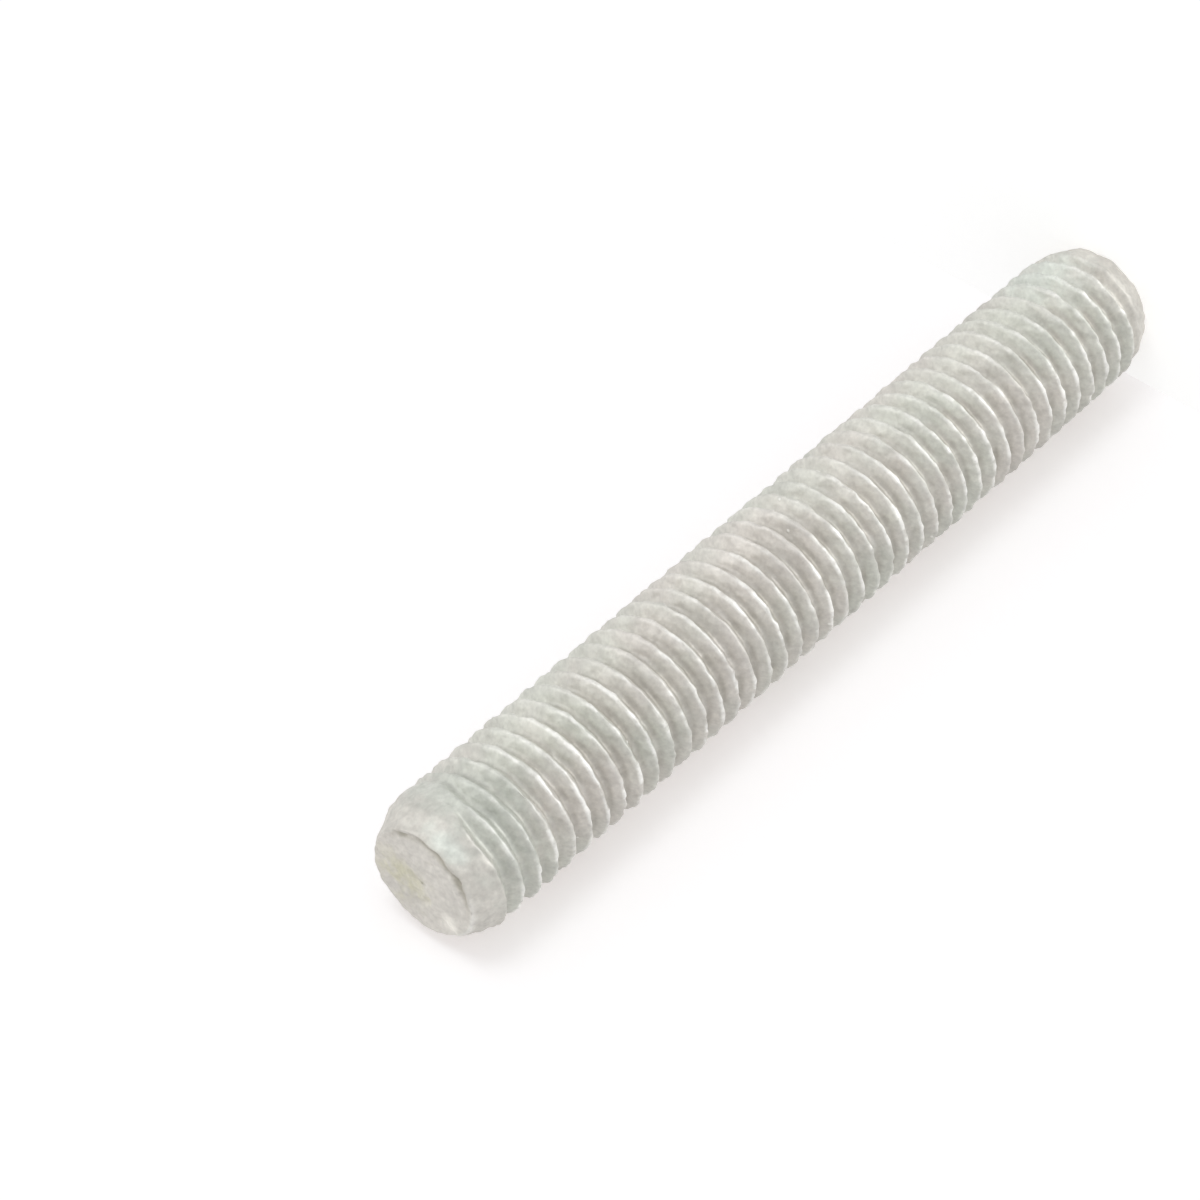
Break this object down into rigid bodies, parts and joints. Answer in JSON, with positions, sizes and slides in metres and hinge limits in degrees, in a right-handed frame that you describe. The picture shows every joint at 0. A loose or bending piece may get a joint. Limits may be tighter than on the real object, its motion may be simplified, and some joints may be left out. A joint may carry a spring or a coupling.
{
  "type": "stud bolt",
  "caption": "Fully threaded steel stud with chamfered flat ends and a galvanised finish, clamping parts together between nuts.",
  "frame": {"origin": "middle of the lower end face", "axes": "+Z along the stud's axis, from the lower end face to the upper one"},
  "size_m": [0.008, 0.008, 0.055],
  "materials": {
    "galvanised_steel": "hot-dip galvanised zinc, dull grey and slightly lumpy"
  },
  "bodies": {
    "root": {"stud": "galvanised_steel"}
  },
  "joints": []
}
